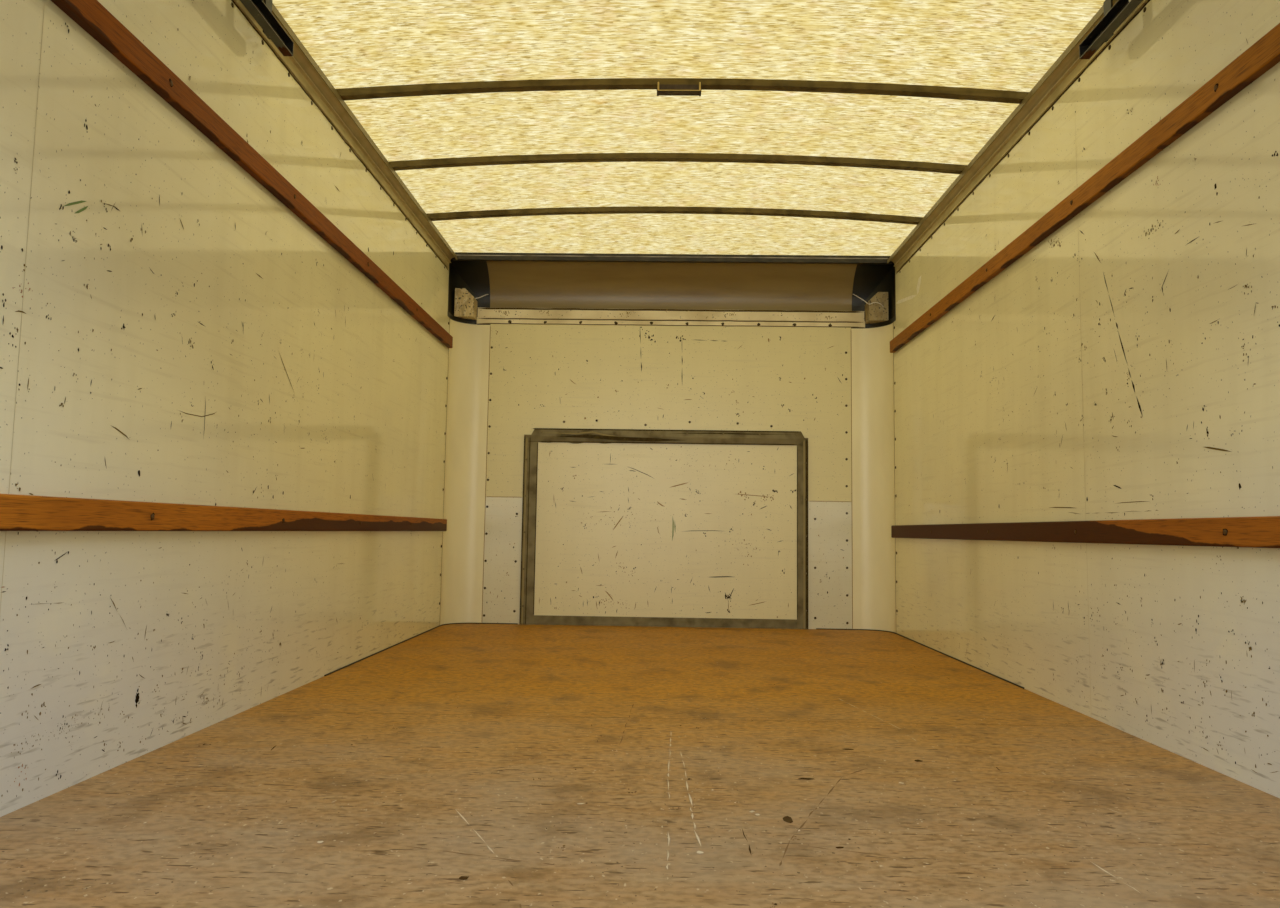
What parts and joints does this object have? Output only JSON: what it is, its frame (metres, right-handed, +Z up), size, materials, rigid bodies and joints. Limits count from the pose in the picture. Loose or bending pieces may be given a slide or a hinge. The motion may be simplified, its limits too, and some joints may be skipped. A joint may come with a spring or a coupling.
{
  "type": "truck cargo box body",
  "caption": "Hollow cargo box body for a truck: panel walls, translucent bowed roof, wood floor and rub rails, rear door rolled up under the roof.",
  "frame": {"origin": "under the middle of the body, on the plane that its two long sills stand on", "axes": "+X to the body's right side, +Y to its front wall, +Z up"},
  "size_m": [2.446, 4.896, 2.247],
  "materials": {
    "panel_gelcoat": "glossy gel coat on a composite panel",
    "lining_sheet": "glossy thin lining sheet",
    "trim_strip": "painted folded strip",
    "strip_steel": "galvanised folded strip, dulled",
    "block_resin": "cast glass-fibre resin",
    "wire_cover": "white wire insulation",
    "roller_nylon": "moulded nylon",
    "seal_rubber": "extruded rubber",
    "roof_fibreglass": "translucent fibreglass sheet",
    "floor_plywood": "worn brown floor plywood",
    "rub_hardwood": "oiled hardwood",
    "rail_aluminium": "extruded mill finish",
    "bow_steel": "grey painted steel",
    "frame_steel": "white painted steel",
    "under_steel": "black painted steel",
    "cap_plastic": "black moulded plastic",
    "track_steel": "black painted rolled steel",
    "zinc_steel": "zinc plated steel",
    "spring_steel": "oil tempered spring wire",
    "door_panel": "white painted laminated panel",
    "lamp_red": "red moulded lens",
    "lamp_amber": "amber moulded lens"
  },
  "bodies": {
    "root": {"bottom_rail_left": "rail_aluminium", "bottom_rail_right": "rail_aluminium", "cab_opening_cover": "panel_gelcoat", "cable_drums": "zinc_steel", "cap_lips": "cap_plastic", "corner_blocks": "block_resin", "corner_cap_left": "cap_plastic", "corner_cap_right": "cap_plastic", "corner_post_left": "panel_gelcoat", "corner_post_right": "panel_gelcoat", "cross_members": "under_steel", "door_hinges": "zinc_steel", "door_latch": "zinc_steel", "door_rollers": "roller_nylon", "door_seal": "seal_rubber", "door_sections": "door_panel", "door_shaft": "zinc_steel", "door_springs": "spring_steel", "door_track_left": "track_steel", "door_track_right": "track_steel", "floor_front": "floor_plywood", "floor_rear": "floor_plywood", "frame_strip_foot": "strip_steel", "frame_strip_left": "strip_steel", "frame_strip_right": "strip_steel", "frame_strip_top": "strip_steel", "front_marker_lamps": "lamp_amber", "front_sill": "under_steel", "front_wall_lower_left": "lining_sheet", "front_wall_lower_right": "lining_sheet", "front_wall_upper": "panel_gelcoat", "header_strip": "trim_strip", "lamp_bracket": "bow_steel", "lamp_wire_left": "wire_cover", "lamp_wire_right": "wire_cover", "long_sill_left": "under_steel", "long_sill_right": "under_steel", "nose_sheet": "panel_gelcoat", "rear_header": "frame_steel", "rear_marker_lamps": "lamp_red", "rear_post_left": "frame_steel", "rear_post_right": "frame_steel", "rear_sill": "frame_steel", "roof_bows": "bow_steel", "roof_front_bar": "bow_steel", "roof_sheet": "roof_fibreglass", "rub_rail_lower_left": "rub_hardwood", "rub_rail_lower_right": "rub_hardwood", "rub_rail_upper_left": "rub_hardwood", "rub_rail_upper_right": "rub_hardwood", "shaft_brackets": "zinc_steel", "side_wall_front_left": "panel_gelcoat", "side_wall_front_right": "panel_gelcoat", "side_wall_rear_left": "panel_gelcoat", "side_wall_rear_right": "panel_gelcoat", "tail_lamps": "lamp_red", "top_cove_left": "rail_aluminium", "top_cove_right": "rail_aluminium", "top_rail_left": "rail_aluminium", "top_rail_right": "rail_aluminium"}
  },
  "joints": []
}
